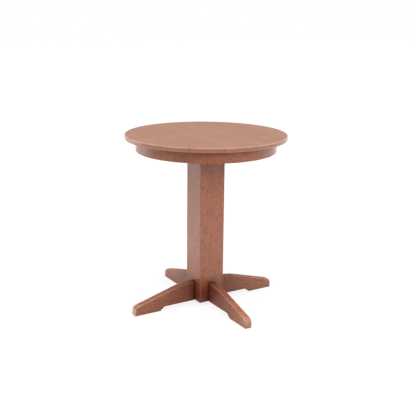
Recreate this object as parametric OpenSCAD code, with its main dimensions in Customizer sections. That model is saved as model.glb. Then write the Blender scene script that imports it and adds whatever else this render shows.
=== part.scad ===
// Round counter height table on a square pedestal.
// Boards glued edge to edge make the top, and a round apron is screwed under it.
// Two cleats, crossed and half lapped, join the top to a hollow mitred column.
// Each sloping leg is bolted to a face of the column and stands on a screw glide.
// The origin is on the floor under the centre of the top, and +Z is up.
// The legs lie along X and Y, and the boards of the top run along Y.

/* [Table top] */
// Height of the upper face of the top above the floor
table_h = 914.4; // [860:0.1:960]
// Diameter of the round top
top_d = 832; // [780:1:900]
// Thickness of the top boards
top_t = 22; // [19:0.5:30]
// Width of the inner boards; the two outer boards take what is left
board_w = 140; // [130:1:155]
// Radius of the eased edges round the top
top_ease = 3; // [1:0.5:6]

/* [Apron] */
// Overhang of the top past the apron
apron_overhang = 55; // [46:1:75]
// Thickness of the apron ring
apron_t = 20; // [16:1:26]
// Height of the apron ring
apron_h = 62; // [56:1:80]
// Radius of the eased lower edges of the apron
apron_ease = 2; // [1:0.5:4]
// Thickness of the splines in the apron joints
spline_t = 6; // [4:1:8]
// Length of each spline across its joint
spline_l = 30; // [20:1:40]
// Height of the splines
spline_h = 40; // [30:1:48]

/* [Glue blocks] */
// Length of the blocks between the apron and the top
block_l = 60; // [40:1:80]
// Depth of the blocks towards the centre
block_d = 22; // [20:1:30]
// Height of the blocks
block_h = 40; // [36:1:48]

/* [Cleats] */
// Width of the cleats
cleat_w = 70; // [62:1:84]
// Height of the cleats
cleat_h = 44; // [38:1:52]
// Gap between the end of a cleat and the apron
cleat_gap = 0.8; // [0.3:0.1:3]
// Bevel on the lower ends of the cleats
cleat_bevel = 18; // [8:1:24]
// Distance of the outer screws from the ends of the cleat along the boards
cleat_screw_inset = 40; // [30:1:60]
// Distance of the inner screws of that cleat from the face of the column
cleat_screw_out = 70; // [40:1:110]
// Offset of that cleat's screws from its centre line
cleat_screw_side = 18; // [12:1:22]
// Travel of the slotted screw holes, which lets the boards swell
slot_travel = 8; // [4:1:12]

/* [Column] */
// Width of the square column
column_w = 144; // [132:1:160]
// Thickness of the column boards
column_t = 22; // [18:1:26]
// Radius of the column's corners
column_corner_r = 5; // [2:0.5:8]
// Height of the block that plugs the top of the column
plug_h = 60; // [56:1:120]

/* [Legs] */
// Distance from the centre to the tip of a leg
leg_reach = 426; // [380:1:460]
// Thickness of the legs
leg_t = 38; // [34:1:46]
// Height of the leg's top where it meets the column
leg_root_z = 129; // [122:1:150]
// Distance from the centre to the break of the leg's top
leg_break_s = 168; // [140:1:200]
// Height of the leg's top at that break
leg_break_z = 119; // [110:1:121]
// Height at which the sloping top would meet the tip if it were not rounded
leg_tip_z = 47.5; // [42:0.5:60]
// Radius of the rounded upper corner at the tip
leg_tip_r = 28; // [14:1:30]
// Radius of the soft break in the leg's top
leg_break_r = 160; // [60:5:220]
// Radius of the lower corner at the tip
leg_toe_r = 3; // [1:0.5:6]
// Height of the column's foot and of the relief under a leg
relief_z = 22; // [16:1:30]
// Distance from the centre to the outer end of the relief
relief_s = 255; // [230:1:290]
// Length of the slope from the relief down to the foot
relief_slope = 25; // [16:1:34]
// Radius at both ends of that slope
relief_r = 8; // [2:1:10]

/* [Leg bolts and dowels] */
// Diameter of the hanger bolts
bolt_d = 8; // [6:1:10]
// Height of the lower hanger bolt
bolt_low_z = 46; // [40:1:50]
// Height of the upper hanger bolt
bolt_high_z = 108; // [100:1:110]
// Depth of the hanger bolts in the legs
bolt_leg_depth = 50; // [35:1:70]
// Length of the hanger bolt that shows past its nut
bolt_tail = 3; // [1:0.5:5]
// Diameter of the washers
washer_d = 17; // [16:1:20]
// Thickness of the washers
washer_t = 1.6; // [1:0.1:2.5]
// Width of the nuts and of the lag bolt heads across the flats
nut_af = 13; // [12:0.5:15]
// Height of the nuts
nut_h = 6.5; // [5:0.5:8]
// Diameter of the leg dowels
dowel_d = 10; // [8:1:12]
// Depth of the dowels in the column boards
dowel_wall = 14; // [8:1:16]
// Depth of the dowels in the legs
dowel_leg = 26; // [16:1:34]
// Height of the lower dowel
dowel_low_z = 66; // [62:1:70]
// Distance between the two dowels
dowel_pitch = 22; // [18:1:26]

/* [Screws] */
// Diameter of the lag bolts from the cleats into the column
lag_d = 8; // [6:1:10]
// Length of the lag bolts under the head
lag_l = 78; // [66:1:86]
// Offset of the lag bolts from the centre, along X and along Y
lag_side = 22; // [18:1:23]
// Depth of the pockets for the heads of the lag bolts
lag_pocket = 10; // [9:0.5:12]
// Height of the heads of the lag bolts
lag_head_h = 5.5; // [4:0.5:6]
// Diameter of the wood screws
screw_d = 4.5; // [3.5:0.5:5]
// Diameter of the heads of the wood screws
screw_head_d = 9; // [7:0.5:10]
// Height of the heads of the wood screws
screw_head_h = 3; // [2:0.5:4]
// Depth of the wood screws in the top and in the apron
screw_bite = 14; // [8:1:15]
// Depth of the pockets for screw heads under the cleats
cleat_pocket = 18; // [10:1:24]
// Depth of the pockets for screw heads in the glue blocks
block_pocket = 5; // [4:1:8]

/* [Glides] */
// Distance of a glide from the centre of the table
glide_s = 388; // [370:1:395]
// Diameter of the glide pads
glide_d = 28; // [22:1:29]
// Height of the glide pads
glide_h = 6; // [6:0.5:9]
// Height of the feet above the floor with the glides screwed in
glide_show = 2; // [1:0.5:4]
// Distance that a glide can be screwed out
glide_travel = 10; // [6:1:11]
// Diameter of the threaded stems
stem_d = 8; // [6:1:8]
// Length of the threaded stem above its collar
stem_l = 29; // [24:1:32]
// Diameter of the collar that turns in the pad
collar_d = 14; // [12:0.5:16]
// Height of the collar
collar_h = 2.5; // [2:0.5:3]
// Thickness of the pad over the collar
pad_lip = 1.4; // [1:0.1:1.8]
// Diameter of the threaded inserts in the feet
insert_d = 12; // [11:0.5:14]
// Length of the threaded inserts
insert_l = 14; // [10:1:18]
// Width of the key socket in the foot of the stem, across the flats
key_af = 4; // [3:0.5:4.5]
// Depth of the key socket
key_depth = 5; // [3:0.5:7]

/* [Clearances] */
// Gap round the bolts where they pass through the column boards and cleats
bolt_clear = 0.3; // [0.2:0.1:0.6]
// Gap round the threads of bolts, screws and dowels in wood
wood_clear = 0.05; // [0.02:0.01:0.1]
// Gap round the stems in their inserts
thread_clear = 0.05; // [0.02:0.01:0.08]
// Gap round heads, nuts and pads in their pockets
pocket_clear = 1; // [0.5:0.1:1.5]
// Gap at the sides of the half lap and of the splines
lap_clear = 0.15; // [0.1:0.05:0.4]
// Gap round the collar in its pad
collar_clear = 0.3; // [0.2:0.1:0.5]
// Depth that a blind hole runs past the tip of its screw or bolt
hole_spare = 2; // [1:0.5:3]

/* [Hidden] */
$fn = 72;
// Number of steps round the large circles of the top and the apron
rim_steps = 360;

top_wood = "#b98d78";
base_wood = "#96654f";
inner_wood = "#cda77e";
steel = "#b4b8bc";
nylon = "#3b3a39";

sides = 4;
quarter = 360 / sides;
// Angles that take the +X leg to the front, right, back and left
front = -quarter;
right = 0;
back = quarter;
left = 2 * quarter;
hex = 6;
// Overrun of a cutting shape past the face that it cuts
cut = 1;
bar_bevel = 0.8;
pad_bevel = 0.8;
head_ease = 0.8;

top_r = top_d / 2;
top_under = table_h - top_t;
apron_r = top_r - apron_overhang;
apron_in = apron_r - apron_t;
apron_z = top_under - apron_h;
seam_out = 2 * board_w;
outer_board_mid = (seam_out + apron_in) / 2;
inner_board_mid = seam_out - board_w / 2;
block_angle = quarter / 4;
block_r = apron_in - block_d / 2;
cleat_half = sqrt(pow(apron_in, 2) - pow(cleat_w / 2, 2)) - cleat_gap;
column_top = top_under - cleat_h;
column_half = column_w / 2;
bore_half = column_half - column_t;
screw_hole_d = screw_d + 2 * wood_clear;
screw_slip_d = screw_d + 2 * bolt_clear;
screw_pocket_d = screw_head_d + 2 * pocket_clear;
cleat_head_z = column_top + cleat_pocket;
block_head_z = top_under - block_h + block_pocket;
lag_seat = top_under - lag_pocket;
foot_z = glide_show;
pad_top = glide_h;
collar_z = pad_top - pad_lip - collar_clear - collar_h;
stem_top = collar_z + collar_h + stem_l;
bolt_in = bore_half - washer_t - nut_h - bolt_tail;

function unit(v) = v / norm(v);

// Points of the arc that rounds corner b of an outline that runs from a to b to c
function corner(a, b, c, r, steps = 10) =
    let (
        u = unit(a - b),
        v = unit(c - b),
        half = acos(u * v) / 2,
        centre = b + unit(u + v) * r / sin(half),
        from = b + u * r / tan(half) - centre,
        to = b + v * r / tan(half) - centre,
        turn = acos(unit(from) * unit(to)),
        way = sign(from[0] * to[1] - from[1] * to[0])
    )
    [for (i = [0:steps]) let (w = way * turn * i / steps)
        centre + [from[0] * cos(w) - from[1] * sin(w), from[0] * sin(w) + from[1] * cos(w)]];

// Table top
// Half of the top's section, with its rim eased above and below
module top_section() {
    rim = [top_r, 0];
    lip = [top_r, top_t];
    polygon(concat(
        [[0, 0]],
        corner([0, 0], rim, lip, top_ease, 6),
        corner(rim, lip, [0, top_t], top_ease, 6),
        [[0, top_t]]
    ));
}

module at_block_screws() {
    for (i = [0:2 * sides - 1]) rotate((2 * i + 1) * block_angle) translate([block_r, 0]) children();
}

module at_slotted_screws() {
    for (s = [-1, 1], x = [inner_board_mid, outer_board_mid]) translate([s * x, 0]) children();
}

module at_plain_screws() {
    outer_y = cleat_half - cleat_screw_inset;
    inner_y = column_half + cleat_screw_out;
    for (s = [-1, 1]) {
        translate([cleat_screw_side, s * inner_y]) children();
        translate([-cleat_screw_side, s * outer_y]) children();
    }
}

module top_screw_holes() {
    translate([0, 0, top_under - cut]) linear_extrude(screw_bite + hole_spare + cut) {
        at_block_screws() circle(d = screw_hole_d);
        at_slotted_screws() circle(d = screw_hole_d);
        at_plain_screws() circle(d = screw_hole_d);
    }
}

// Board of the top between two lines across X
module top_board(x0, x1) {
    color(top_wood) difference() {
        intersection() {
            translate([0, 0, top_under]) rotate_extrude($fn = rim_steps) top_section();
            translate([x0, -top_r - cut, top_under - cut])
                cube([x1 - x0, top_d + 2 * cut, top_t + 2 * cut]);
        }
        intersection() {
            top_screw_holes();
            translate([x0, -top_r, top_under - 2 * cut]) cube([x1 - x0, top_d, top_t]);
        }
    }
}

// Apron
module apron_section() {
    difference() {
        translate([apron_in, 0]) square([apron_t, apron_h]);
        translate([apron_in, 0]) square(apron_ease);
        translate([apron_r - apron_ease, 0]) square(apron_ease);
    }
    translate([apron_in + apron_ease, apron_ease]) circle(apron_ease);
    translate([apron_r - apron_ease, apron_ease]) circle(apron_ease);
}

module spline(clear) {
    translate([apron_in + apron_t / 2 - spline_t / 2 - clear, -spline_l / 2 - clear,
        top_under - spline_h - clear])
        cube([spline_t + 2 * clear, spline_l + 2 * clear, spline_h + clear]);
}

// Holes or screws that run out through the glue blocks of a quarter into the apron
module at_out_screws() {
    for (s = [-1, 1], y = [-1, 1] * block_l / 3) rotate(s * block_angle)
        translate([apron_in - block_d, y, top_under - block_h / 2]) rotate([0, 90, 0]) children();
}

// Quarter of the ring, centred on a leg's direction
module apron_segment(turn) {
    color(base_wood) rotate(turn) difference() {
        translate([0, 0, apron_z]) rotate(-quarter / 2)
            rotate_extrude(angle = quarter, $fn = rim_steps) apron_section();
        for (s = [-1, 1]) rotate(s * quarter / 2) spline(lap_clear);
        at_out_screws() cylinder(d = screw_hole_d, h = block_d + screw_bite + hole_spare);
    }
}

module apron_splines() {
    color(inner_wood) for (i = [0:sides - 1]) rotate((i + 0.5) * quarter) spline(0);
}

// Glue blocks, whose outer faces are curved to the apron
module glue_blocks() {
    color(inner_wood) for (i = [0:sides - 1]) rotate(i * quarter) difference() {
        for (s = [-1, 1]) rotate(s * block_angle) glue_block();
        at_out_screws() translate([0, 0, -cut]) cylinder(d = screw_slip_d, h = 2 * block_d);
    }
}

module glue_block() {
    difference() {
        intersection() {
            translate([apron_in - block_d, -block_l / 2, top_under - block_h])
                cube([2 * block_d, block_l, block_h]);
            translate([0, 0, apron_z]) cylinder(r = apron_in, h = apron_h, $fn = rim_steps);
        }
        translate([block_r, 0, top_under - block_h - cut]) {
            cylinder(d = screw_slip_d, h = block_h + 2 * cut);
            cylinder(d = screw_pocket_d, h = block_pocket + cut);
        }
    }
}

// Wood screw along Z, with the underside of its head at the origin
module wood_screw(length) {
    r = screw_d / 2;
    head_r = screw_head_d / 2;
    rotate_extrude() polygon([[0, -screw_head_h], [head_r - head_ease, -screw_head_h],
        [head_r, head_ease - screw_head_h], [head_r, 0], [r, 0], [r, length - screw_d], [0, length]]);
}

module block_screws_up() {
    color(steel) at_block_screws() translate([0, 0, block_head_z])
        wood_screw(top_under + screw_bite - block_head_z);
}

module block_screws_out() {
    color(steel) for (i = [0:sides - 1]) rotate(i * quarter)
        at_out_screws() wood_screw(block_d + screw_bite);
}

// Cleats
module cleat_blank() {
    rotate([90, 0, 0]) linear_extrude(cleat_w, center = true) polygon([
        [-cleat_half, top_under], [-cleat_half, column_top + cleat_bevel],
        [-cleat_half + cleat_bevel, column_top], [cleat_half - cleat_bevel, column_top],
        [cleat_half, column_top + cleat_bevel], [cleat_half, top_under]]);
}

module lap_notch(z) {
    lap = cleat_w + 2 * lap_clear;
    translate([0, 0, z + cleat_h / 4]) cube([lap, lap, cleat_h / 2 + lap_clear], center = true);
}

module slot(d) {
    for (s = [-1, 1]) translate([s * slot_travel / 2, 0]) circle(d = d);
    square([slot_travel, d], center = true);
}

module at_lags() {
    for (x = [-1, 1] * lag_side, y = [-1, 1] * lag_side) translate([x, y]) children();
}

module lag_holes() {
    translate([0, 0, column_top - cut]) linear_extrude(cleat_h + 2 * cut) at_lags()
        circle(d = lag_d + 2 * bolt_clear);
}

// Cleat along X with its half lap cut from above and slots that let the boards move
module cleat_across_boards() {
    color(inner_wood) difference() {
        cleat_blank();
        lap_notch(column_top + cleat_h / 2);
        lag_holes();
        translate([0, 0, column_top - cut]) {
            linear_extrude(cleat_h + 2 * cut) at_slotted_screws() slot(screw_slip_d);
            linear_extrude(cleat_pocket + cut) at_slotted_screws() slot(screw_pocket_d);
        }
    }
}

// Cleat along Y with its half lap cut from below and pockets for the lag bolts
module cleat_along_boards() {
    color(inner_wood) difference() {
        rotate(quarter) cleat_blank();
        lap_notch(column_top);
        lag_holes();
        translate([0, 0, lag_seat]) linear_extrude(lag_pocket + cut) at_lags()
            circle(d = washer_d + 2 * pocket_clear);
        translate([0, 0, column_top - cut]) {
            linear_extrude(cleat_h + 2 * cut) at_plain_screws() circle(d = screw_slip_d);
            linear_extrude(cleat_pocket + cut) at_plain_screws() circle(d = screw_pocket_d);
        }
    }
}

module cleat_screws() {
    color(steel) translate([0, 0, cleat_head_z]) {
        at_slotted_screws() wood_screw(top_under + screw_bite - cleat_head_z);
        at_plain_screws() wood_screw(top_under + screw_bite - cleat_head_z);
    }
}

module ring(outer_d, inner_d, height) {
    linear_extrude(height) difference() {
        circle(d = outer_d);
        circle(d = inner_d);
    }
}

module hexagon(across_flats) {
    circle(d = across_flats / cos(180 / hex), $fn = hex);
}

// Column
module column_lag_bolts() {
    head_z = lag_seat + washer_t;
    color(steel) at_lags() {
        translate([0, 0, head_z]) linear_extrude(lag_head_h) hexagon(nut_af);
        translate([0, 0, head_z - lag_l]) rotate_extrude() polygon([[0, 0], [lag_d / 2, lag_d],
            [lag_d / 2, lag_l + cut], [0, lag_l + cut]]);
    }
}

module column_lag_washers() {
    color(steel) translate([0, 0, lag_seat]) at_lags() ring(washer_d, lag_d + 2 * bolt_clear, washer_t);
}

module column_top_plug() {
    hole_z = lag_seat + washer_t - lag_l - hole_spare;
    color(inner_wood) difference() {
        translate([-bore_half, -bore_half, column_top - plug_h])
            cube([2 * bore_half, 2 * bore_half, plug_h]);
        translate([0, 0, hole_z]) at_lags()
            cylinder(d = lag_d + 2 * wood_clear, h = column_top - hole_z + cut);
    }
}

module column_outline() {
    inner = column_w - 2 * column_corner_r;
    square([inner, column_w], center = true);
    square([column_w, inner], center = true);
    for (x = [-1, 1] * inner / 2, y = [-1, 1] * inner / 2) translate([x, y]) circle(column_corner_r);
}

// Holes along X at the heights of the hanger bolts or of the dowels
module at_bolts(x) {
    for (z = [bolt_low_z, bolt_high_z]) translate([x, 0, z]) rotate([0, 90, 0]) children();
}

module at_dowels(x) {
    for (z = [dowel_low_z, dowel_low_z + dowel_pitch]) translate([x, 0, z]) rotate([0, 90, 0]) children();
}

// Mitred board of the column on the side that the leg meets
module column_board(turn) {
    dowel_in = column_half - dowel_wall - hole_spare;
    color(base_wood) rotate(turn) difference() {
        translate([0, 0, relief_z]) linear_extrude(column_top - relief_z) intersection() {
            difference() {
                column_outline();
                square(2 * bore_half, center = true);
            }
            polygon([[0, 0], [column_w, -column_w], [column_w, column_w]]);
        }
        at_bolts(bore_half - cut) cylinder(d = bolt_d + 2 * bolt_clear, h = column_t + 2 * cut);
        at_dowels(dowel_in) cylinder(d = dowel_d + 2 * wood_clear, h = column_half - dowel_in + cut);
    }
}

// Legs
function leg_outline() = let (
        root_low = [column_half, relief_z],
        root_high = [column_half, leg_root_z],
        break = [leg_break_s, leg_break_z],
        tip = [leg_reach, leg_tip_z],
        toe = [leg_reach, foot_z],
        heel = [relief_s + relief_slope, foot_z],
        arch = [relief_s, relief_z]
    )
    concat([root_low, root_high], corner(root_high, break, tip, leg_break_r),
        corner(break, tip, toe, leg_tip_r), corner(tip, toe, heel, leg_toe_r),
        corner(toe, heel, arch, relief_r), corner(heel, arch, root_low, relief_r));

module leg(turn) {
    color(base_wood) rotate(turn) difference() {
        rotate([90, 0, 0]) linear_extrude(leg_t, center = true) polygon(leg_outline());
        at_bolts(column_half - cut)
            cylinder(d = bolt_d + 2 * wood_clear, h = bolt_leg_depth + hole_spare + cut);
        at_dowels(column_half - cut)
            cylinder(d = dowel_d + 2 * wood_clear, h = dowel_leg + hole_spare + cut);
        translate([glide_s, 0, 0]) {
            cylinder(d = glide_d + 2 * pocket_clear, h = pad_top);
            cylinder(d = insert_d + 2 * wood_clear, h = pad_top + insert_l);
            cylinder(d = stem_d + 2 * bolt_clear, h = stem_top + hole_spare);
        }
    }
}

module on_each_leg() {
    for (i = [0:sides - 1]) rotate(i * quarter) children();
}

// Round bar along Z with a bevel at both ends
module bar(d, length, bevel) {
    r = d / 2;
    rotate_extrude() polygon([[0, 0], [r - bevel, 0], [r, bevel], [r, length - bevel], [r - bevel, length],
        [0, length]]);
}

module leg_dowels() {
    color(inner_wood) on_each_leg() at_dowels(column_half - dowel_wall)
        bar(dowel_d, dowel_wall + dowel_leg, bar_bevel);
}

module leg_hanger_bolts() {
    color(steel) on_each_leg() at_bolts(bolt_in)
        bar(bolt_d, column_half + bolt_leg_depth - bolt_in, bar_bevel);
}

module leg_bolt_washers() {
    color(steel) on_each_leg() at_bolts(bore_half - washer_t)
        ring(washer_d, bolt_d + 2 * bolt_clear, washer_t);
}

module leg_bolt_nuts() {
    color(steel) on_each_leg() at_bolts(bore_half - washer_t - nut_h) linear_extrude(nut_h) difference() {
        hexagon(nut_af);
        circle(d = bolt_d + 2 * thread_clear);
    }
}

// Glides
module glide_inserts() {
    color(steel) on_each_leg() translate([glide_s, 0, pad_top])
        ring(insert_d, stem_d + 2 * thread_clear, insert_l);
}

// Pad with a pocket in which the collar of the stem turns
module glide_pad(turn) {
    pocket_h = collar_h + 2 * collar_clear;
    color(nylon) rotate(turn) translate([glide_s, 0, 0]) difference() {
        bar(glide_d, pad_top, pad_bevel);
        translate([0, 0, pad_top - pad_lip - pocket_h]) {
            cylinder(d = collar_d + 2 * collar_clear, h = pocket_h);
            cylinder(d = stem_d + 2 * collar_clear, h = pad_top);
        }
        translate([0, 0, -cut]) cylinder(d = collar_d / 2, h = pad_top);
    }
}

// Threaded stem with a key socket in its foot
module glide_stem(turn) {
    color(steel) rotate(turn) translate([glide_s, 0, collar_z]) difference() {
        union() {
            cylinder(d = collar_d, h = collar_h);
            bar(stem_d, stem_top - collar_z, bar_bevel);
        }
        translate([0, 0, -cut]) linear_extrude(key_depth + cut) hexagon(key_af);
    }
}

top_board(-top_r - cut, -seam_out);  // top_board_far_left
top_board(-seam_out, -board_w);  // top_board_mid_left
top_board(-board_w, 0);  // top_board_near_left
top_board(0, board_w);  // top_board_near_right
top_board(board_w, seam_out);  // top_board_mid_right
top_board(seam_out, top_r + cut);  // top_board_far_right
apron_segment(front);  // apron_segment_front
apron_segment(right);  // apron_segment_right
apron_segment(back);  // apron_segment_back
apron_segment(left);  // apron_segment_left
apron_splines();
glue_blocks();
block_screws_up();
block_screws_out();
cleat_across_boards();
cleat_along_boards();
cleat_screws();
column_lag_bolts();
column_lag_washers();
column_top_plug();
column_board(front);  // column_board_front
column_board(right);  // column_board_right
column_board(back);  // column_board_back
column_board(left);  // column_board_left
leg(front);  // leg_front
leg(right);  // leg_right
leg(back);  // leg_back
leg(left);  // leg_left
leg_dowels();
leg_hanger_bolts();
leg_bolt_washers();
leg_bolt_nuts();
glide_inserts();
glide_pad(front);  // glide_pad_front
glide_pad(right);  // glide_pad_right
glide_pad(back);  // glide_pad_back
glide_pad(left);  // glide_pad_left
glide_stem(front);  // glide_stem_front
glide_stem(right);  // glide_stem_right
glide_stem(back);  // glide_stem_back
glide_stem(left);  // glide_stem_left
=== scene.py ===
import math
import random

import bmesh
import bpy
from mathutils import Matrix, Vector


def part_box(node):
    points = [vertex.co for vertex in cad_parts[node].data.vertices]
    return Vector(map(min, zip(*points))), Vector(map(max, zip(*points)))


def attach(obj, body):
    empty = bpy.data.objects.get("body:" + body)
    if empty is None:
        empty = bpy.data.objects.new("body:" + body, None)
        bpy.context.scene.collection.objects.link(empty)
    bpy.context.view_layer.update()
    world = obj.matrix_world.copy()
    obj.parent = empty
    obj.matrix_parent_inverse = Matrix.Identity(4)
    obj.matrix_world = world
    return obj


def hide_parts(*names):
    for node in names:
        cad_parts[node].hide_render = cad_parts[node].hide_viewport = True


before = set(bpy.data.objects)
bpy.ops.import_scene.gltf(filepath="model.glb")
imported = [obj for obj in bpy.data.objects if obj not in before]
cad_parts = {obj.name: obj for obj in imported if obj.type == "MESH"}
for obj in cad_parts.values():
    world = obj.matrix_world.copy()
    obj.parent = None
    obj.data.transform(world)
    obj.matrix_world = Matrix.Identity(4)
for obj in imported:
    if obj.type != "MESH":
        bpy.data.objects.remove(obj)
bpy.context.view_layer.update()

# The sizes are in metres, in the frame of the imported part: the origin lies on the floor under
# the centre of the top, the legs lie along X and Y, and the boards of the top run along Y.
dice = random.Random(7)

# Sizes of the pieces that are modelled here
TOP_EASE = 0.0032
APRON_T = 0.020
APRON_EASE = 0.0025
BOARD_W = 0.140
COLUMN_T = 0.022
COLUMN_CORNER_R = 0.005
COLUMN_FOOT_EASE = 0.003
LEG_BREAK = (0.168, 0.119)
LEG_TIP_Z = 0.0475
LEG_RELIEF_Z = 0.022
LEG_RELIEF_S = 0.255
LEG_RELIEF_SLOPE = 0.025
LEG_OVER = 0.007
LEG_UNDER = 0.0022
LEG_ROOT_EASE = 0.005
# For the corners of a leg's outline, in the order that leg() lists them
LEG_CORNER_RADII = (0.003, 0.007, 0.160, 0.028, 0.003, 0.008, 0.008)
LEG_CORNER_STEPS = (4, 6, 10, 12, 5, 6, 6)
# Steps of each rounded edge, and the slope of the grain
LEG_ROUNDING_STEPS = 7
LEG_GRAIN_SLOPE = math.radians(3)
# Distance of the glides from the centre, and the pocket and the bore above each of them
GLIDE_S = 0.388
GLIDE_POCKET_R = 0.015
GLIDE_POCKET_Z = 0.006
STEM_BORE_R = 0.0043
STEM_BORE_Z = 0.040
BORE_OVERSHOOT = 0.01
SHARP_ANGLE = math.radians(32)

# Sizes read from the CAD solids, whose boxes are given as lowest and highest corner
top_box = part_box("top_board_far_right")
TOP_R = top_box[1][0]
TOP_Z = top_box[1][2]
TOP_UNDER = top_box[0][2]
apron_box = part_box("apron_segment_right")
APRON_R = apron_box[1][0]
APRON_Z = apron_box[0][2]
column_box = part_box("column_board_right")
COLUMN_HALF = column_box[1][0]
COLUMN_FOOT = column_box[0][2]
COLUMN_TOP = column_box[1][2]
leg_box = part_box("leg_right")
LEG_ROOT = leg_box[0][0]
LEG_REACH = leg_box[1][0]
LEG_HALF = leg_box[1][1]
LEG_ROOT_Z = leg_box[1][2]
LEG_FOOT_Z = leg_box[0][2]

# Quarter turns from the right hand piece to each side's
SIDES = {"right": 0, "back": 1, "left": 2, "front": 3}


# Mesh helpers
def turned(points, quarter):
    """The points after that many quarter turns about Z."""
    c, s = round(math.cos(quarter * math.pi / 2)), round(math.sin(quarter * math.pi / 2))
    return [(x * c - y * s, x * s + y * c, z) for x, y, z in points]


def loft(name, rings):
    """A closed mesh through rings of equally many points, with a face over each end."""
    mesh = bpy.data.meshes.new(name)
    bm = bmesh.new()
    rows = [[bm.verts.new(p) for p in ring] for ring in rings]
    for a, b in zip(rows, rows[1:]):
        for i in range(len(a)):
            j = (i + 1) % len(a)
            bm.faces.new((a[i], a[j], b[j], b[i]))
    bm.faces.new(rows[0][::-1])
    bm.faces.new(rows[-1])
    bmesh.ops.remove_doubles(bm, verts=bm.verts, dist=1e-7)
    bmesh.ops.recalc_face_normals(bm, faces=bm.faces)
    bm.to_mesh(mesh)
    bm.free()
    obj = bpy.data.objects.new(name, mesh)
    bpy.context.scene.collection.objects.link(obj)
    return obj


def shade(obj):
    """Smooth faces with flat ones kept flat and sharp edges kept sharp."""
    obj.data.shade_smooth()
    obj.data.set_sharp_from_angle(angle=SHARP_ANGLE)
    weighted = obj.modifiers.new("even_normals", "WEIGHTED_NORMAL")
    weighted.keep_sharp = True


def grain(obj, along, across, offset):
    """Stores the wood's own coordinates: X runs along the grain and Z through the growth rings."""
    along, across = Vector(along).normalized(), Vector(across).normalized()
    through = along.cross(across)
    store = obj.data.attributes.new("grain", "FLOAT_VECTOR", "POINT")
    for i, v in enumerate(obj.data.vertices):
        p = v.co
        store.data[i].vector = (
            p.dot(along) + offset[0], p.dot(across) + offset[1], p.dot(through) + offset[2])


def somewhere():
    """A place in the log, so that no two boards share their figure."""
    return [dice.uniform(-4, 4) for _ in range(3)]


def dress(obj, material, node):
    """Gives the piece its material and lets it stand in for the CAD node."""
    obj.data.materials.clear()
    obj.data.materials.append(material)
    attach(obj, "table")
    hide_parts(node)


def cut(obj, radius, top_z, at):
    """Bores a round hole up into the piece, from below the floor to top_z."""
    bm = bmesh.new()
    height = top_z + BORE_OVERSHOOT
    bmesh.ops.create_cone(
        bm, cap_ends=True, segments=48, radius1=radius, radius2=radius, depth=height,
        matrix=Matrix.Translation((at[0], at[1], top_z - height / 2)))
    mesh = bpy.data.meshes.new("bore")
    bm.to_mesh(mesh)
    bm.free()
    tool = bpy.data.objects.new("bore", mesh)
    bpy.context.scene.collection.objects.link(tool)
    boolean = obj.modifiers.new("bore", "BOOLEAN")
    boolean.operation = "DIFFERENCE"
    boolean.solver = "EXACT"
    boolean.object = tool
    dg = bpy.context.evaluated_depsgraph_get()
    done = bpy.data.meshes.new_from_object(obj.evaluated_get(dg))
    obj.modifiers.remove(boolean)
    obj.data = done
    bpy.data.objects.remove(tool)
    bpy.data.meshes.remove(mesh)


# Outlines
def crossing(p, d, q, e):
    """Where the line through p along d meets the line through q along e."""
    t = ((q[0] - p[0]) * e[1] - (q[1] - p[1]) * e[0]) / (d[0] * e[1] - d[1] * e[0])
    return (p[0] + d[0] * t, p[1] + d[1] * t)


def rounded_outline(corners, radii, insets, steps):
    """Points of a polygon drawn in by its own inset on each edge, with round corners.

    Edge i runs from corner i to corner i + 1. Each point comes with the share of the way
    from the edge before its corner to the edge after it.
    """
    n = len(corners)
    lines = []
    for i in range(n):
        a, b = Vector(corners[i]), Vector(corners[(i + 1) % n])
        d = (b - a).normalized()
        inward = Vector((d.y, -d.x))
        lines.append((a + inward * insets[i], d))
    points = []
    for i in range(n):
        (p, d), (q, e) = lines[i - 1], lines[i]
        c = Vector(crossing(p, d, q, e))
        turn = d.angle(e)
        bend = d.x * e.y - d.y * e.x
        mean = (insets[i - 1] + insets[i]) / 2
        radius = max(radii[i] - mean, 0.0004) if bend < 0 else radii[i] + mean
        reach = radius * math.tan(turn / 2)
        start, side = c - d * reach, Vector((d.y, -d.x)) * (1 if bend < 0 else -1)
        centre = start + side * radius
        for k in range(steps[i] + 1):
            w = turn * k / steps[i]
            arm = -side * math.cos(w) + d * math.sin(w)
            points.append((centre + arm * radius, i, k / steps[i]))
    return points


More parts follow.
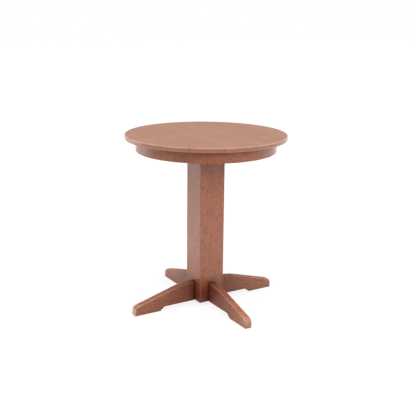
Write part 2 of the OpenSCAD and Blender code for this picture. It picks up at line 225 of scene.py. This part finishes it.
# Legs
def leg(side):
    """Sloping leg, rounded over along its top and tip and eased along its underside."""
    quarter = SIDES[side]
    # Up the root end, out along the top, down the tip and back along the underside
    corners = [
        (LEG_ROOT, LEG_RELIEF_Z), (LEG_ROOT, LEG_ROOT_Z), LEG_BREAK,
        (LEG_REACH, LEG_TIP_Z), (LEG_REACH, LEG_FOOT_Z),
        (LEG_RELIEF_S + LEG_RELIEF_SLOPE, LEG_FOOT_Z), (LEG_RELIEF_S, LEG_RELIEF_Z)]
    over = [LEG_ROOT_EASE] + 3 * [LEG_OVER] + 3 * [LEG_UNDER]
    rings = []
    for k in range(LEG_ROUNDING_STEPS + 1):
        w = math.pi / 2 * k / LEG_ROUNDING_STEPS
        insets = [r * (1 - math.sin(w)) for r in over]
        ring = []
        for p, i, share in rounded_outline(corners, LEG_CORNER_RADII, insets, LEG_CORNER_STEPS):
            r = over[i - 1] * (1 - share) + over[i] * share
            ring.append((p.x, LEG_HALF - r * (1 - math.cos(w)), p.y))
        rings.append(ring)
    mirrored = [[(x, -y, z) for x, y, z in ring] for ring in rings[::-1]]
    rings = [turned(ring, quarter) for ring in rings + mirrored]
    obj = loft(f"leg_{side}_shaped", rings)
    at = turned([(GLIDE_S, 0, 0)], quarter)[0]
    cut(obj, GLIDE_POCKET_R, GLIDE_POCKET_Z, at)
    cut(obj, STEM_BORE_R, STEM_BORE_Z, at)
    along = turned([(math.cos(LEG_GRAIN_SLOPE), 0, -math.sin(LEG_GRAIN_SLOPE))], quarter)[0]
    across = turned([(0, 1, 0)], quarter)[0]
    grain(obj, along, across, somewhere())
    ridges(obj, across)
    shade(obj)
    return obj


def ridges(obj, across):
    """Stores how far each point lies on a rounded upper or tip edge, and how far it faces up.

    The upright edges of the tip count less than the upper ones, and the lower ones not at all.
    """
    across = Vector(across)
    normals = [v.normal.copy() for v in obj.data.vertices]
    ridge = obj.data.attributes.new("ridge", "FLOAT", "POINT")
    for i, normal in enumerate(normals):
        side = abs(normal.dot(across))
        rounded = 2 * side * math.sqrt(max(0, 1 - side ** 2)) if normal.z > -0.1 else 0
        ridge.data[i].value = rounded * (0.2 + 0.8 * min(1, max(0, 1.6 * normal.z)))
    facing_up = obj.data.attributes.new("facing_up", "FLOAT", "POINT")
    for i, normal in enumerate(normals):
        facing_up.data[i].value = max(0, normal.z)


# Column
def column_board(side):
    """Mitred board of the column with a rounded half corner on each side and an eased foot."""
    quarter = SIDES[side]
    h, t, r = COLUMN_HALF, COLUMN_T, COLUMN_CORNER_R
    steps = 5

    def section(inset):
        """From one inner mitre corner round the face to the other, seen from above."""
        half = [(h - t, h - t)]
        for k in range(steps + 1):
            w = math.pi / 4 * (1 - k / steps)
            arm = r - inset
            half.append((h - r + arm * math.cos(w), h - r + arm * math.sin(w)))
        return half + [(x, -y) for x, y in half[::-1]]

    rings = []
    for k in range(steps + 1):
        w = math.pi / 2 * k / steps
        inset = COLUMN_FOOT_EASE * (1 - math.sin(w))
        z = COLUMN_FOOT + COLUMN_FOOT_EASE * (1 - math.cos(w))
        rings.append([(x, y, z) for x, y in section(inset)])
    rings.append([(x, y, COLUMN_TOP) for x, y in section(0)])
    obj = loft(f"column_board_{side}_shaped", [turned(ring, quarter) for ring in rings])
    grain(obj, (0, 0, 1), turned([(0, 1, 0)], quarter)[0], somewhere())
    shade(obj)
    return obj


# Apron
def apron_segment(side):
    """Quarter of the round apron with eased lower edges."""
    quarter = SIDES[side]
    low, high, inner, outer, r = APRON_Z, TOP_UNDER, APRON_R - APRON_T, APRON_R, APRON_EASE
    corner = 5
    section = [(inner, high)]
    for k in range(corner + 1):
        w = math.pi / 2 * k / corner
        section.append((inner + r - r * math.cos(w), low + r - r * math.sin(w)))
    for k in range(corner + 1):
        w = math.pi / 2 * k / corner
        section.append((outer - r + r * math.sin(w), low + r - r * math.cos(w)))
    section.append((outer, high))
    rings = []
    steps = 48
    for k in range(steps + 1):
        a = math.radians(-45 + 90 * k / steps)
        rings.append(turned([(d * math.cos(a), d * math.sin(a), z) for d, z in section], quarter))
    obj = loft(f"apron_segment_{side}_shaped", rings)
    place = somewhere()
    store = obj.data.attributes.new("grain", "FLOAT_VECTOR", "POINT")
    for i, v in enumerate(obj.data.vertices):
        x, y, z = turned([v.co], -quarter)[0]
        store.data[i].vector = (
            math.atan2(y, x) * APRON_R + place[0], z + place[1], math.hypot(x, y) + place[2])
    shade(obj)
    return obj


# Top
def top_board(name, x0, x1):
    """Board of the round top between two lines along Y, with its share of the eased rim."""
    rings = []
    ease, corner, steps = TOP_EASE, 6, 40

    def ring(radius, z):
        a0 = math.asin(max(-1, x0 / radius)) if x0 > -radius else -math.pi / 2
        a1 = math.asin(min(1, x1 / radius)) if x1 < radius else math.pi / 2
        far = [(radius * math.sin(a), radius * math.cos(a), z)
               for a in (a0 + (a1 - a0) * k / steps for k in range(steps + 1))]
        return far + [(x, -y, z) for x, y, z in far[::-1]]

    for k in range(corner + 1):
        w = math.pi / 2 * k / corner
        rings.append(ring(TOP_R - ease * (1 - math.sin(w)), TOP_UNDER + ease * (1 - math.cos(w))))
    for k in range(corner + 1):
        w = math.pi / 2 * k / corner
        rings.append(ring(TOP_R - ease * (1 - math.cos(w)), TOP_Z - ease * (1 - math.sin(w))))
    obj = loft(f"top_board_{name}_shaped", rings)
    grain(obj, (0, 1, 0), (1, 0, 0), somewhere())
    shade(obj)
    return obj


# Materials
class Nodes:
    """Short hand for the node tree of a material or a world."""

    def __init__(self, owner):
        owner.use_nodes = True
        self.owner = owner
        self.tree = owner.node_tree
        self.shader = self.tree.nodes.get("Principled BSDF")
        self.scuffed = None

    def add(self, kind, **values):
        node = self.tree.nodes.new(kind)
        for key, value in values.items():
            setattr(node, key, value)
        return node

    def link(self, source, target):
        if isinstance(source, (int, float, tuple)):
            target.default_value = source
        else:
            self.tree.links.new(source, target)

    def math(self, operation, a, b=0.0):
        node = self.add("ShaderNodeMath", operation=operation)
        self.link(a, node.inputs[0])
        self.link(b, node.inputs[1])
        return node.outputs[0]

    def stretch(self, vector, scale):
        node = self.add("ShaderNodeVectorMath", operation="MULTIPLY")
        self.link(vector, node.inputs[0])
        node.inputs[1].default_value = scale
        return node.outputs[0]

    def noise(self, vector, scale, detail=2.0, roughness=0.5, distortion=0.0):
        node = self.add("ShaderNodeTexNoise")
        self.link(vector, node.inputs["Vector"])
        node.inputs["Scale"].default_value = scale
        node.inputs["Detail"].default_value = detail
        node.inputs["Roughness"].default_value = roughness
        node.inputs["Distortion"].default_value = distortion
        return node.outputs["Fac"]

    def ramp(self, value, low, high, to_low=0.0, to_high=1.0):
        node = self.add("ShaderNodeMapRange")
        self.link(value, node.inputs["Value"])
        node.inputs["From Min"].default_value = low
        node.inputs["From Max"].default_value = high
        node.inputs["To Min"].default_value = to_low
        node.inputs["To Max"].default_value = to_high
        return node.outputs["Result"]

    def mix(self, share, a, b, blend="MIX"):
        node = self.add("ShaderNodeMix", data_type="RGBA", blend_type=blend)
        self.link(share, node.inputs[0])
        self.link(a, node.inputs[6])
        self.link(b, node.inputs[7])
        return node.outputs[2]

    def bump(self, height, strength, distance):
        node = self.add("ShaderNodeBump")
        node.inputs["Strength"].default_value = strength
        node.inputs["Distance"].default_value = distance
        self.link(height, node.inputs["Height"])
        self.link(node.outputs["Normal"], self.shader.inputs["Normal"])


def linear(red, green, blue):
    """A screen colour, 0 to 255, as the linear colour that Blender's sockets take."""
    def channel(value):
        value /= 255
        return value / 12.92 if value <= 0.04045 else ((value + 0.055) / 1.055) ** 2.4
    return tuple(channel(v) for v in (red, green, blue)) + (1.0,)


# Stains, painted shade and painted light, either as colours or as factors on the wood's red, green
# and blue
# Dark line round each leg's joint with the column: partly stain, partly painted shade
JOINT_STAIN_AND_SHADE = linear(74, 34, 23)
RING_STAIN = linear(128, 70, 47)
GLUE_LINE = linear(96, 50, 34)
# Darkens the blotches of deeper stain, and paints shade on apron, column and legs
DEEP_STAIN_AND_SHADE = (0.50, 0.34, 0.29, 1.0)
EDGE_STAIN = (1.06, 1.03, 1.1, 1.0)
# Paler eased edges of the rim: partly stain rubbed through, partly a painted highlight
THIN_STAIN_AND_HIGHLIGHT = (1.3, 2.1, 3.4, 1.0)
# Paler sides of the front leg towards its tip: a painted reflection
FRONT_PAINTED_REFLECTION = (1.42, 1.48, 1.5, 1.0)
# Paler leg tips: painted light
TIP_PAINTED_LIGHT = (1.15, 1.4, 1.6, 1.0)
# Paler end faces of the legs: a painted highlight
END_PAINTED_HIGHLIGHT = (1.25, 1.4, 1.6, 1.0)
# Paler end of the left leg: a painted reflection
LEFT_END_PAINTED_REFLECTION = (1.45, 1.7, 1.95, 1.0)
# Paler rounded ridges of the legs: partly wear, partly a painted highlight
RIDGE_WEAR_AND_HIGHLIGHT = (1.36, 2.15, 2.9, 1.0)

# Blotches: how fine they are, their place in the noise and the share of the deep stain in them
BLOTCH_SCALE = (14, 22, 22)
APRON_BLOTCH, APRON_BLOTCH_SHARE = 8.0, 0.3
LEG_BLOTCH, LEG_BLOTCH_SHARE = 9.0, 0.08

# How far the painted shade of apron and column reaches, in metres
APRON_SHADE_H = 0.018
COLUMN_SHADE_H = 0.06
COLUMN_DARK_Z = (0.09, 0.185)
COLUMN_SOFT_W = 0.028

# How far the stains, painted shade and painted light of the legs reach, in metres, and how much
# rougher their worn faces are
ROOT_FADE = 0.24
ROOT_DARK = 0.05
UPPER_FADE = 0.25
JOINT_LINE = (0.001, 0.006)
UNDERSIDE_LINE = (0.002, 0.011)
FRONT_PAINTED_REFLECTION_REACH = (0.05, 0.16)
FRONT_PAINTED_REFLECTION_STOP = (0.012, 0.004)
TIP_LIGHT_REACH = 0.05
END_HIGHLIGHT_REACH = (0.005, 0.001)
LEFT_END_PAINTED_REFLECTION_REACH = (0.001, 0.006)
RIDGE_WEAR_AND_HIGHLIGHT_REACH = (0.2, 0.04)
SCUFFED = 0.3


def stained_wood(name, light, mid, dark, mottle, fibre, roughness, specular, extras):
    """Close grained hardwood with a red-brown stain under satin lacquer.

    mottle and fibre are the shares of the dark tone in the flecks and in the streaks, roughness
    runs from its first to its second value with the flecks, and extras adds a piece's own marks,
    painted shade and painted light.
    """
    n = Nodes(bpy.data.materials.new(name))
    place = n.add("ShaderNodeAttribute", attribute_name="grain").outputs["Vector"]
    streaks = n.noise(n.stretch(place, (9, 330, 330)), 1.0, 4, 0.6)
    figure = n.noise(n.stretch(place, (9, 26, 26)), 1.0, 3, 0.55, 0.4)
    flecks = n.noise(n.stretch(place, (85, 115, 115)), 1.0, 3, 0.65)
    pores = n.noise(n.stretch(place, (70, 1500, 1500)), 1.0, 1, 0.4)
    tone = n.mix(n.ramp(figure, 0.35, 0.65), mid, light)
    tone = n.mix(n.ramp(flecks, 0.48, 0.62, 0.0, mottle), tone, dark)
    tone = n.mix(n.ramp(streaks, 0.4, 0.7, 0.0, fibre), tone, dark)
    tone = n.mix(n.ramp(pores, 0.6, 0.72, 0.0, 0.35), tone, dark)
    tone = extras(n, place, tone)
    n.link(tone, n.shader.inputs["Base Color"])
    rough = n.ramp(flecks, 0.3, 0.7, *roughness)
    if n.scuffed is not None:
        rough = n.math("ADD", rough, n.scuffed)
    n.link(rough, n.shader.inputs["Roughness"])
    n.shader.inputs["IOR"].default_value = 1.5
    n.shader.inputs["Specular IOR Level"].default_value = specular
    height = n.math("ADD", n.math("MULTIPLY", streaks, 0.15), flecks)
    n.bump(height, 0.12, 0.0003)
    return n.owner


def part_place(n):
    """The point's own X, Y and Z in the part's frame."""
    split = n.add("ShaderNodeSeparateXYZ")
    n.link(n.add("ShaderNodeTexCoord").outputs["Object"], split.inputs[0])
    return split.outputs


def blotches(n, place, tone, where, share):
    """Wide soft patches where the wood took more of the stain."""
    node = n.add("ShaderNodeTexNoise", noise_dimensions="4D")
    n.link(n.stretch(place, BLOTCH_SCALE), node.inputs["Vector"])
    node.inputs["Scale"].default_value = 1.0
    node.inputs["W"].default_value = where
    node.inputs["Detail"].default_value = 2.0
    patch = n.ramp(node.outputs["Fac"], 0.42, 0.66, 0.0, share)
    return n.mix(patch, tone, DEEP_STAIN_AND_SHADE, "MULTIPLY")


def apron_shade(n, place, tone):
    """Blotches, and painted shade under the overhang of the top: a little darker all over and
    darkest where the apron meets the top.
    """
    tone = blotches(n, place, tone, APRON_BLOTCH, APRON_BLOTCH_SHARE)
    _, _, z = part_place(n)
    # Painted shade under the top's overhang
    painted_shade = n.ramp(z, TOP_UNDER - APRON_SHADE_H, TOP_UNDER, 0.12, 0.65)
    return n.mix(painted_shade, tone, DEEP_STAIN_AND_SHADE, "MULTIPLY")


def glue_lines(n, place, tone):
    """Fine dark lines where the boards of the top meet."""
    x, _, _ = part_place(n)
    away = n.math("PINGPONG", x, BOARD_W / 2)
    wobble = n.noise(n.stretch(place, (40, 0, 0)), 1.0, 2, 0.5)
    line = n.ramp(away, 0.0006, 0.0022, 1.0, 0.0)
    return n.mix(n.math("MULTIPLY", line, n.ramp(wobble, 0.3, 0.6, 0.3, 0.8)), tone, GLUE_LINE)


def rim_edges_and_highlight(n, place, tone):
    """Glue lines, and a paler band along the rim's eased edges, partly stain rubbed through and
    partly a painted highlight.
    """
    tone = glue_lines(n, place, tone)
    _, _, z = part_place(n)
    tone = n.mix(1.0, tone, EDGE_STAIN, "MULTIPLY")
    # Painted highlight with rubbed stain on the upper ease, and weaker on the lower one
    rim_pale_band = n.math("MAXIMUM", n.ramp(z, TOP_Z - TOP_EASE - 0.0015, TOP_Z - 0.0015, 0.0, 1.0),
                  n.ramp(z, TOP_UNDER + 0.001, TOP_UNDER + TOP_EASE, 0.6, 0.0))
    return n.mix(rim_pale_band, tone, THIN_STAIN_AND_HIGHLIGHT, "MULTIPLY")


def column_shade_and_joints(n, place, tone):
    """Painted shade at the foot between the legs and just under the apron, painted shade round each
    leg's outline, and a joint line of stain and painted shade.
    """
    x, y, z = part_place(n)
    # Painted shade: dark towards the foot between the legs, and a little under the apron
    painted_shade = n.math("ADD", n.ramp(z, *COLUMN_DARK_Z, 0.92, 0.0),
                  n.ramp(z, APRON_Z - COLUMN_SHADE_H, APRON_Z, 0.0, 0.1))
    tone = n.mix(painted_shade, tone, DEEP_STAIN_AND_SHADE, "MULTIPLY")
    across = n.math("MINIMUM", n.math("ABSOLUTE", x), n.math("ABSOLUTE", y))
    side = n.math("MAXIMUM", n.math("SUBTRACT", across, LEG_HALF - LEG_OVER), 0.0)
    above = n.math("MAXIMUM", n.math("SUBTRACT", z, LEG_ROOT_Z - LEG_OVER), 0.0)
    reach = n.math("SQRT", n.math("ADD", n.math("POWER", side, 2.0), n.math("POWER", above, 2.0)))
    # Painted shade round the outline of the leg
    soft = n.ramp(reach, LEG_OVER, LEG_OVER + COLUMN_SOFT_W, 0.55, 0.0)
    tone = n.mix(soft, tone, DEEP_STAIN_AND_SHADE, "MULTIPLY")
    # Dark joint line: partly stain, partly painted shade
    line = n.ramp(reach, LEG_OVER - 0.001, LEG_OVER + 0.0065, 0.75, 0.0)
    return n.mix(line, tone, JOINT_STAIN_AND_SHADE)


def leg_shade_and_light(n, place, tone):
    """Blotches and rings, painted shade at the column and underside, painted light at the tips and
    ends, and ridges partly worn, partly painted highlight.
    """
    tone = blotches(n, place, tone, LEG_BLOTCH, LEG_BLOTCH_SHARE)

    # Growth rings that run out across the sloping top
    rings = n.noise(n.stretch(place, (2, 10, 330)), 1.0, 1, 0.4)
    tone = n.mix(n.ramp(rings, 0.5, 0.62, 0.0, 0.3), tone, RING_STAIN)

    x, y, z = part_place(n)
    out = n.math("MAXIMUM", n.math("ABSOLUTE", x), n.math("ABSOLUTE", y))
    facing_up = n.add("ShaderNodeAttribute", attribute_name="facing_up").outputs["Fac"]
    ridge = n.add("ShaderNodeAttribute", attribute_name="ridge").outputs["Fac"]
    n.scuffed = n.math("MULTIPLY", n.math("MAXIMUM", facing_up, ridge), SCUFFED)

    def from_root(near, far, share, rest=0.0):
        """A share that fades to another between two distances from the column."""
        return n.ramp(out, LEG_ROOT + near, LEG_ROOT + far, share, rest)

    def to_tip(far, near, share=0.0, rest=1.0):
        """A share that changes to another between two distances from the tip."""
        return n.ramp(out, LEG_REACH - far, LEG_REACH - near, share, rest)

    # Painted shade along the underside, which steps up to the relief
    underside = n.ramp(out, LEG_RELIEF_S, LEG_RELIEF_S + LEG_RELIEF_SLOPE, LEG_RELIEF_Z, LEG_FOOT_Z)
    low = n.ramp(n.math("SUBTRACT", z, underside), *UNDERSIDE_LINE, 0.5, 0.0)
    tone = n.mix(low, tone, DEEP_STAIN_AND_SHADE, "MULTIPLY")

    # The sides of the front leg, paler towards its tip: a painted reflection
    near, far = FRONT_PAINTED_REFLECTION_REACH
    front = n.ramp(y, -LEG_REACH + near, -LEG_REACH + far, 1.0, 0.0)
    front = n.math("MULTIPLY", front, to_tip(*FRONT_PAINTED_REFLECTION_STOP, 1.0, 0.0))
    front = n.math("MULTIPLY", front, n.ramp(facing_up, 0.0, 1.0, 1.0, 0.25))
    tone = n.mix(front, tone, FRONT_PAINTED_REFLECTION, "MULTIPLY")

    # Painted shade towards the column, painted light towards the tip, a painted highlight on the
    # end and a painted reflection on the left leg's end
    tone = n.mix(from_root(0.0, ROOT_FADE, 1.0), tone, DEEP_STAIN_AND_SHADE, "MULTIPLY")
    tone = n.mix(from_root(0.0, ROOT_DARK, 0.65), tone, DEEP_STAIN_AND_SHADE, "MULTIPLY")
    tone = n.mix(to_tip(TIP_LIGHT_REACH, 0.0), tone, TIP_PAINTED_LIGHT, "MULTIPLY")
    tone = n.mix(to_tip(*END_HIGHLIGHT_REACH), tone, END_PAINTED_HIGHLIGHT, "MULTIPLY")
    near, far = LEFT_END_PAINTED_REFLECTION_REACH
    left_end_reflection = n.ramp(x, -LEG_REACH + near, -LEG_REACH + far, 1.0, 0.0)
    tone = n.mix(left_end_reflection, tone, LEFT_END_PAINTED_REFLECTION, "MULTIPLY")

    # Painted shade on the upper faces near the column, ridges partly worn and partly a painted
    # highlight, and the line of stain and painted shade against the column
    upper = n.math("MULTIPLY", facing_up, from_root(0.0, UPPER_FADE, 0.45))
    tone = n.mix(upper, tone, DEEP_STAIN_AND_SHADE, "MULTIPLY")
    wear_and_highlight = n.math("MULTIPLY", ridge, to_tip(*RIDGE_WEAR_AND_HIGHLIGHT_REACH, 0.55, 1.0))
    tone = n.mix(wear_and_highlight, tone, RIDGE_WEAR_AND_HIGHLIGHT, "MULTIPLY")
    return n.mix(from_root(*JOINT_LINE, 0.7), tone, JOINT_STAIN_AND_SHADE)


def bare_wood(name):
    """Planed hardwood with no finish, for the pieces that stay out of sight."""
    n = Nodes(bpy.data.materials.new(name))
    place = n.add("ShaderNodeTexCoord").outputs["Object"]
    rings = n.noise(n.stretch(place, (60, 60, 260)), 1.0, 4, 0.6, 0.6)
    fibres = n.noise(n.stretch(place, (900, 900, 300)), 1.0, 2, 0.5)
    tone = n.mix(n.ramp(rings, 0.3, 0.7), linear(196, 158, 117), linear(222, 188, 146))
    tone = n.mix(n.ramp(fibres, 0.45, 0.7, 0.0, 0.4), tone, linear(168, 126, 88))
    n.link(tone, n.shader.inputs["Base Color"])
    n.link(n.ramp(fibres, 0.3, 0.7, 0.55, 0.7), n.shader.inputs["Roughness"])
    n.bump(fibres, 0.3, 0.0003)
    return n.owner


def zinc_steel(name):
    """Bright zinc plate with faint turning marks and a dull bloom."""
    n = Nodes(bpy.data.materials.new(name))
    place = n.add("ShaderNodeTexCoord").outputs["Object"]
    bloom = n.noise(place, 140, 3, 0.6)
    marks = n.noise(n.stretch(place, (300, 300, 2600)), 1.0, 2, 0.5)
    n.link(n.mix(n.ramp(bloom, 0.3, 0.7), linear(176, 180, 184), linear(206, 208, 207)),
           n.shader.inputs["Base Color"])
    n.shader.inputs["Metallic"].default_value = 1.0
    n.link(n.ramp(bloom, 0.3, 0.7, 0.26, 0.42), n.shader.inputs["Roughness"])
    n.bump(marks, 0.15, 0.0002)
    return n.owner


def nylon(name):
    """Moulded dark nylon with a fine spark finish."""
    n = Nodes(bpy.data.materials.new(name))
    place = n.add("ShaderNodeTexCoord").outputs["Object"]
    skin = n.noise(place, 1800, 2, 0.6)
    scuff = n.noise(place, 220, 3, 0.6)
    n.link(n.mix(n.ramp(scuff, 0.35, 0.75), linear(46, 44, 43), linear(72, 69, 66)),
           n.shader.inputs["Base Color"])
    n.link(n.ramp(scuff, 0.3, 0.7, 0.42, 0.6), n.shader.inputs["Roughness"])
    n.bump(skin, 0.3, 0.00015)
    return n.owner


# Light, middle and dark tone of the boards, and the finish as stained_wood takes it
TOP_TONES = [
    ((174, 117, 82), (165, 108, 74), (135, 80, 52)),
    ((172, 115, 80), (162, 106, 72), (133, 78, 50)),
    ((176, 118, 83), (166, 109, 75), (137, 81, 53))]
TOP_FINISH = 0.28, 0.36, (0.4, 0.5), 0.32
RIM_FINISH = 0.4, 0.25, (0.22, 0.3), 0.6
top_stain, rim_stain_and_highlight = [], []
for i, tones in enumerate(TOP_TONES):
    colours = [linear(*tone) for tone in tones]
    top_stain.append(stained_wood(f"top_stain_{i}", *colours, *TOP_FINISH, glue_lines))
    rim_stain_and_highlight.append(stained_wood(f"rim_stain_and_highlight_{i}", *colours, *RIM_FINISH, rim_edges_and_highlight))
BASE_TONES = linear(177, 112, 80), linear(168, 102, 71), linear(137, 60, 32)
BASE_FINISH = 0.66, 0.07, (0.25, 0.35), 0.54
apron_stain_and_shade = stained_wood("apron_stain_and_shade", *BASE_TONES, *BASE_FINISH, apron_shade)
column_stain_and_shade = stained_wood("column_stain_and_shade", *BASE_TONES, *BASE_FINISH, column_shade_and_joints)
leg_stain_and_light = stained_wood("leg_stain_and_light", *BASE_TONES, *BASE_FINISH, leg_shade_and_light)
bare = bare_wood("bare_wood")
zinc = zinc_steel("zinc_steel")
pad_nylon = nylon("pad_nylon")

# Pieces
seam = 2 * BOARD_W
# A face whose middle lies further than this from a board's upper and lower level gets the
# rim's stain and painted highlight.
FLAT = 1e-5
for i, (name, x0, x1) in enumerate([
        ("far_left", -TOP_R, -seam), ("mid_left", -seam, -BOARD_W), ("near_left", -BOARD_W, 0),
        ("near_right", 0, BOARD_W), ("mid_right", BOARD_W, seam), ("far_right", seam, TOP_R)]):
    board = top_board(name, x0, x1)
    dress(board, top_stain[i % len(top_stain)], f"top_board_{name}")
    board.data.materials.append(rim_stain_and_highlight[i % len(rim_stain_and_highlight)])
    for face in board.data.polygons:
        if TOP_UNDER + FLAT < face.center.z < TOP_Z - FLAT:
            face.material_index = 1
for side in SIDES:
    dress(apron_segment(side), apron_stain_and_shade, f"apron_segment_{side}")
    dress(column_board(side), column_stain_and_shade, f"column_board_{side}")
    dress(leg(side), leg_stain_and_light, f"leg_{side}")


def finish_cad(node, material):
    """Gives a CAD solid its material and leaves its mesh as it is."""
    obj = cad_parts[node]
    obj.data.materials.clear()
    obj.data.materials.append(material)


for node in ("apron_splines", "glue_blocks", "cleat_across_boards", "cleat_along_boards",
             "column_top_plug", "leg_dowels"):
    finish_cad(node, bare)
for node in ("block_screws_up", "block_screws_out", "cleat_screws", "column_lag_bolts",
             "column_lag_washers", "leg_hanger_bolts", "leg_bolt_washers", "leg_bolt_nuts",
             "glide_inserts"):
    finish_cad(node, zinc)
for side in SIDES:
    finish_cad(f"glide_pad_{side}", pad_nylon)
    finish_cad(f"glide_stem_{side}", zinc)


# Stage
def ray_share(n, *kinds):
    """1 for rays of the named kinds, else 0."""
    path = n.add("ShaderNodeLightPath")
    total = 0.0
    for kind in kinds:
        total = n.math("MAXIMUM", total, path.outputs[f"Is {kind} Ray"])
    return total


def floor():
    """Pale floor that keeps the object's soft shadow, glows a little brighter away from it, and
    glows in reflections with a painted shadow round the table.
    """
    bm = bmesh.new()
    half = FLOOR_HALF
    bm.faces.new([bm.verts.new((x, y, 0)) for x, y in
                  ((-half, -half), (half, -half), (half, half), (-half, half))])
    mesh = bpy.data.meshes.new("floor")
    bm.to_mesh(mesh)
    bm.free()
    obj = bpy.data.objects.new("floor", mesh)
    bpy.context.scene.collection.objects.link(obj)
    n = Nodes(bpy.data.materials.new("floor"))
    n.tree.nodes.remove(n.shader)
    diffuse = n.add("ShaderNodeBsdfDiffuse")
    diffuse.inputs["Color"].default_value = (FLOOR_GREY, FLOOR_GREY, FLOOR_GREY, 1)
    x, y, _ = part_place(n)
    away = n.math("SQRT", n.math("ADD", n.math("POWER", x, 2.0), n.math("POWER", y, 2.0)))
    seen = n.ramp(away, *FLOOR_SEEN_REACH, *FLOOR_SEEN)
    seen = n.math("MULTIPLY", ray_share(n, "Camera"), seen)
    front = n.math("ADD", n.math("MULTIPLY", x, FRONT[0]), n.math("MULTIPLY", y, FRONT[1]))
    # Glow seen only in reflections: a painted shadow round the table, and dimmer far off and
    # towards the front
    level = n.ramp(away, *FLOOR_MIRRORED_REACH, *FLOOR_MIRRORED)
    level = n.math("MULTIPLY", level, n.ramp(away, *FLOOR_FAR, 1.0, 0.85))
    level = n.math("MULTIPLY", level, n.ramp(front, *FLOOR_FRONT, 1.0, 0.45))
    mirrored = n.math("MULTIPLY", ray_share(n, "Glossy", "Transmission"), level)
    glow = n.add("ShaderNodeEmission")
    n.link(n.math("ADD", seen, mirrored), glow.inputs["Strength"])
    add = n.add("ShaderNodeAddShader")
    n.link(diffuse.outputs[0], add.inputs[0])
    n.link(glow.outputs[0], add.inputs[1])
    n.link(add.outputs[0], n.tree.nodes["Material Output"].inputs["Surface"])
    mesh.materials.append(n.owner)


def surroundings(level):
    """White to the camera and in reflections, and a soft even light otherwise."""
    world = bpy.data.worlds.new("studio")
    bpy.context.scene.world = world
    n = Nodes(world)
    n.tree.nodes.clear()
    sky = n.add("ShaderNodeBackground")
    share = ray_share(n, "Camera", "Glossy", "Transmission")
    n.link(n.ramp(share, 0.0, 1.0, level, 1.0), sky.inputs["Strength"])
    sky.inputs["Color"].default_value = (1, 1, 1, 1)
    n.link(sky.outputs[0], n.add("ShaderNodeOutputWorld").inputs["Surface"])


def softbox(name, place, aim, size, power):
    """A rectangular lamp that faces its aim."""
    light = bpy.data.lights.new(name, "AREA")
    light.shape = "RECTANGLE"
    light.size, light.size_y = size
    light.energy = power
    obj = bpy.data.objects.new(name, light)
    obj.location = place
    obj.rotation_mode = "QUATERNION"
    obj.rotation_quaternion = (Vector(aim) - Vector(place)).to_track_quat("-Z", "Y")
    bpy.context.scene.collection.objects.link(obj)


# The floor's half width and the direction of its front, the light levels with the distances
# in metres over which they change, and the lamps with their place, aim, size and power.
FLOOR_HALF = 30.0
FRONT = -0.52, -0.85
WORLD_LEVEL = 0.12
FLOOR_GREY = 0.3
FLOOR_SEEN, FLOOR_SEEN_REACH = (0.8, 1.0), (0.8, 3.0)
FLOOR_MIRRORED, FLOOR_MIRRORED_REACH = (0.3, 1.6), (0.05, 0.85)
FLOOR_FAR = 1.8, 3.0
FLOOR_FRONT = 1.2, 2.6
LAMPS = {
    "overhead": ((0, 0, 3.3), (0, 0, 0.5), (1.4, 1.4), 16),
    "overhead_left": ((-2.3, -0.2, 3.2), (0, 0, 0.4), (1.0, 1.0), 24),
    "overhead_right": ((2.2, -0.9, 3.2), (0, 0, 0.4), (1.0, 1.0), 26),
    "front_high": ((-0.2, -3.0, 2.4), (0, 0, 0.5), (1.4, 1.2), 35),
    "front_low": ((0.5, -3.4, 1.5), (0, 0, 0.4), (2.2, 1.4), 30),
    "left_low": ((-3.3, -0.8, 1.5), (0, 0, 0.4), (2.2, 1.4), 30),
    "left_high": ((-3.0, 0.2, 2.4), (0, 0, 0.5), (1.4, 1.2), 8),
    "back_left_high": ((-2.1, 2.3, 2.4), (0, 0, 0.5), (1.4, 1.2), 13),
    "back_left_low": ((-2.4, 2.8, 0.9), (0, 0, 0.4), (1.8, 1.4), 11),
    "right_low": ((3.2, -1.2, 1.3), (0, 0, 0.4), (2.0, 1.4), 17),
}
floor()
surroundings(WORLD_LEVEL)
for name, (place, aim, size, power) in LAMPS.items():
    softbox(name, place, aim, size, power)


# Camera, fitted to the photograph's 416 by 416 frame. The focal length is in pixels, the
# distances are in metres and the angles in radians.
PHOTO_SIDE = 416
FOCAL_PX = 718.7
CAMERA_AWAY = 3.645
CAMERA_HIGH = 1.5178
CAMERA_YAW = 0.5446
CAMERA_PAN = 0.0045
CAMERA_PITCH = 0.26735
CAMERA_ROLL = 0.0113
CAMERA_ASIDE = 0.003


def photo_camera():
    """The camera at the photograph's place, turned by its yaw, pan, pitch and roll."""
    data = bpy.data.cameras.new("photo_camera")
    data.sensor_width = 36
    data.lens = data.sensor_width * FOCAL_PX / PHOTO_SIDE
    data.clip_end = 100
    obj = bpy.data.objects.new("photo_camera", data)
    bpy.context.scene.collection.objects.link(obj)
    yaw = CAMERA_YAW + CAMERA_PAN
    flat = Vector((math.sin(yaw), math.cos(yaw), 0))
    right = Vector((math.cos(yaw), -math.sin(yaw), 0))
    forward = flat * math.cos(CAMERA_PITCH) - Vector((0, 0, 1)) * math.sin(CAMERA_PITCH)
    up = right.cross(forward)
    rolled_right = right * math.cos(CAMERA_ROLL) + up * math.sin(CAMERA_ROLL)
    rolled_up = up * math.cos(CAMERA_ROLL) - right * math.sin(CAMERA_ROLL)
    place = Vector((-CAMERA_AWAY * math.sin(CAMERA_YAW), -CAMERA_AWAY * math.cos(CAMERA_YAW),
                    CAMERA_HIGH)) - right * CAMERA_ASIDE
    turn = Matrix((rolled_right, rolled_up, -forward)).transposed().to_4x4()
    obj.matrix_world = Matrix.Translation(place) @ turn
    bpy.context.scene.camera = obj


photo_camera()
bpy.context.scene.view_settings.view_transform = "Standard"
